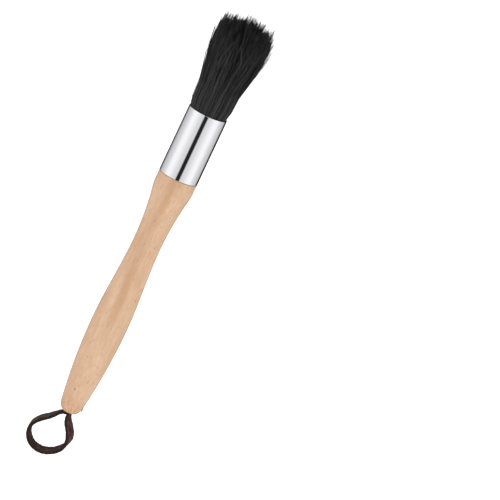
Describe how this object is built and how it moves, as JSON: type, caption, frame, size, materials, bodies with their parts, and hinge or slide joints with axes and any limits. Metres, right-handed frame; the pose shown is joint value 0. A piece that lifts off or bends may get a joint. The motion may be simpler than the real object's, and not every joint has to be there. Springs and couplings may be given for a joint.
{
  "type": "neck duster brush",
  "caption": "Barber's neck duster: turned wooden handle, plated ferrule, soft black bristle tuft and a leather hanging loop.",
  "frame": {"origin": "on the brush's axis, half way up the ferrule, where a tool clip grips it", "axes": "+Z along the axis towards the bristle tips, +X to the right of the strap's brad side, -Y towards the viewer"},
  "size_m": [0.0288, 0.0282, 0.2397],
  "materials": {
    "beech": "satin",
    "plated_metal": "polished",
    "resin": "gloss",
    "bristle": "satin",
    "leather": "matte",
    "steel": "satin"
  },
  "bodies": {
    "brush": {"handle": "beech", "ferrule": "plated_metal", "root_resin": "resin", "bristle_tuft": "bristle", "strap_tails": "leather", "strap_brad": "steel"},
    "loop": {"strap_loop": "leather"}
  },
  "joints": [
    {"name": "loop_swing", "type": "hinge", "parent": "brush", "child": "loop", "pos_m": [0, 0, -0.1481], "axis": [0, 0.9397, 0.342], "range_deg": [-45, 15], "stiffness_Nm_per_rad": 0.002}
  ]
}
